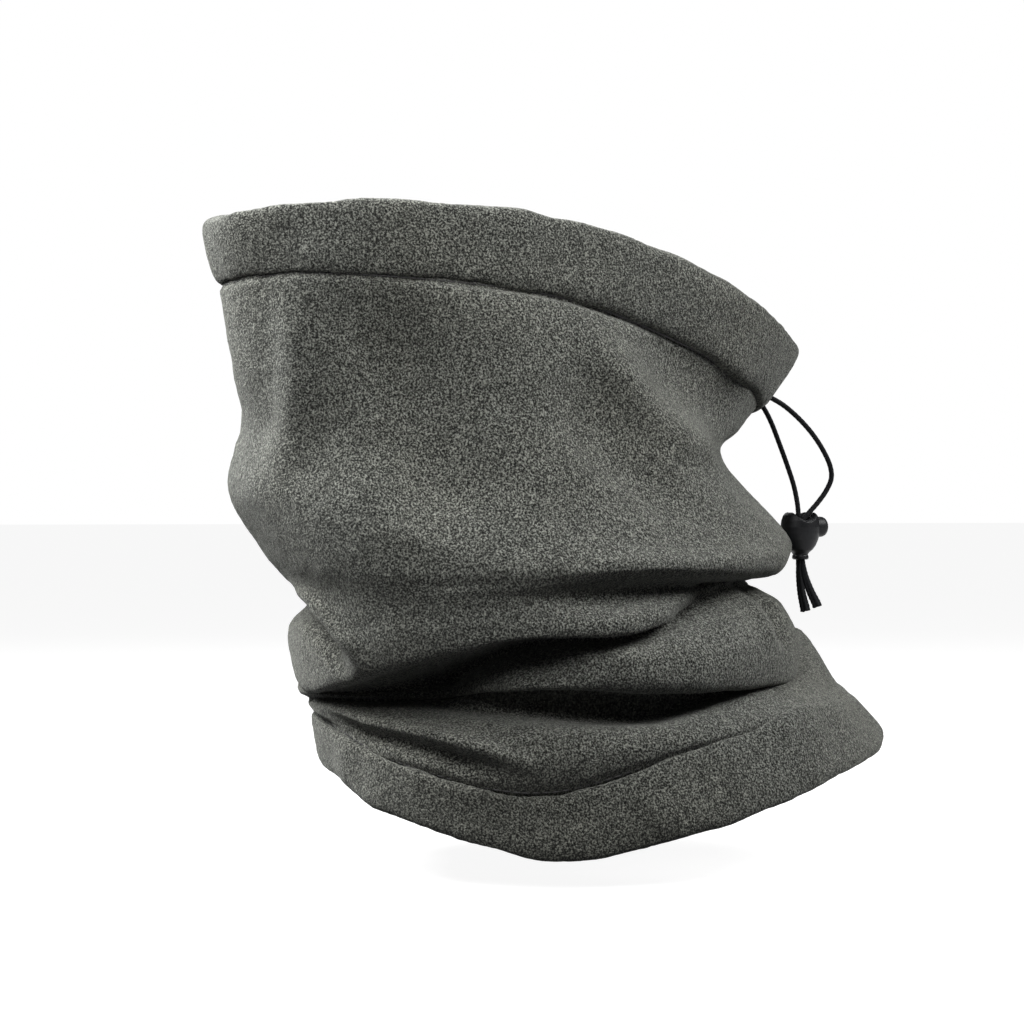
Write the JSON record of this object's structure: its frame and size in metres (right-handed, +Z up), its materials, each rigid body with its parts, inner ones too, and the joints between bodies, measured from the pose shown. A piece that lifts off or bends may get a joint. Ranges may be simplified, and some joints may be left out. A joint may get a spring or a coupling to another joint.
{
  "type": "neck gaiter",
  "caption": "Slouched tube neck gaiter in thick fleece, with a hemmed shoulder edge and a drawcord casing at the face edge, closed by an elastic cord and spring cord lock at the nape.",
  "frame": {"origin": "on the axis of the wearer's neck, level with the lowest point of the shoulder hem", "axes": "+Z up along the neck, the wearer faces -Y, the wearer's left is +X"},
  "size_m": [0.19, 0.2634, 0.2282],
  "materials": {
    "fleece": "brushed pile fleece, mid grey",
    "thread": "sewing thread, dark grey",
    "cord": "braided round elastic, black",
    "lock_plastic": "moulded plastic, satin black",
    "spring_steel": "drawn spring wire"
  },
  "bodies": {
    "gaiter": {"fleece_body": "fleece", "top_casing": "fleece", "bottom_hem": "fleece", "back_seam_allowance": "fleece", "top_hem_stitch": "thread", "bottom_hem_stitch": "thread", "eyelet_left": "thread", "eyelet_right": "thread", "drawcord_casing_run": "cord"},
    "cord_loop": {"drawcord_left_loop": "cord", "drawcord_right_loop": "cord"},
    "cord_lock": {"lock_housing": "lock_plastic", "lock_spring": "spring_steel", "drawcord_left_end": "cord", "drawcord_right_end": "cord"},
    "plunger": {"lock_plunger": "lock_plastic"}
  },
  "joints": [
    {"name": "cord_swing", "type": "hinge", "parent": "gaiter", "child": "cord_loop", "pos_m": [0, 0.0897, 0.1737], "axis": [1, 0, 0], "range_deg": [0, 65]},
    {"name": "lock_slide", "type": "slide", "parent": "cord_loop", "child": "cord_lock", "axis": [0, -0.33, 0.944], "range_m": [-0.01, 0.02], "deforming": ["drawcord_left_loop", "drawcord_right_loop"]},
    {"name": "plunger_press", "type": "slide", "parent": "cord_lock", "child": "plunger", "axis": [0, -1, 0], "range_m": [0, 0.0022], "stiffness_N_per_m": 400, "deforming": ["lock_spring"]}
  ]
}
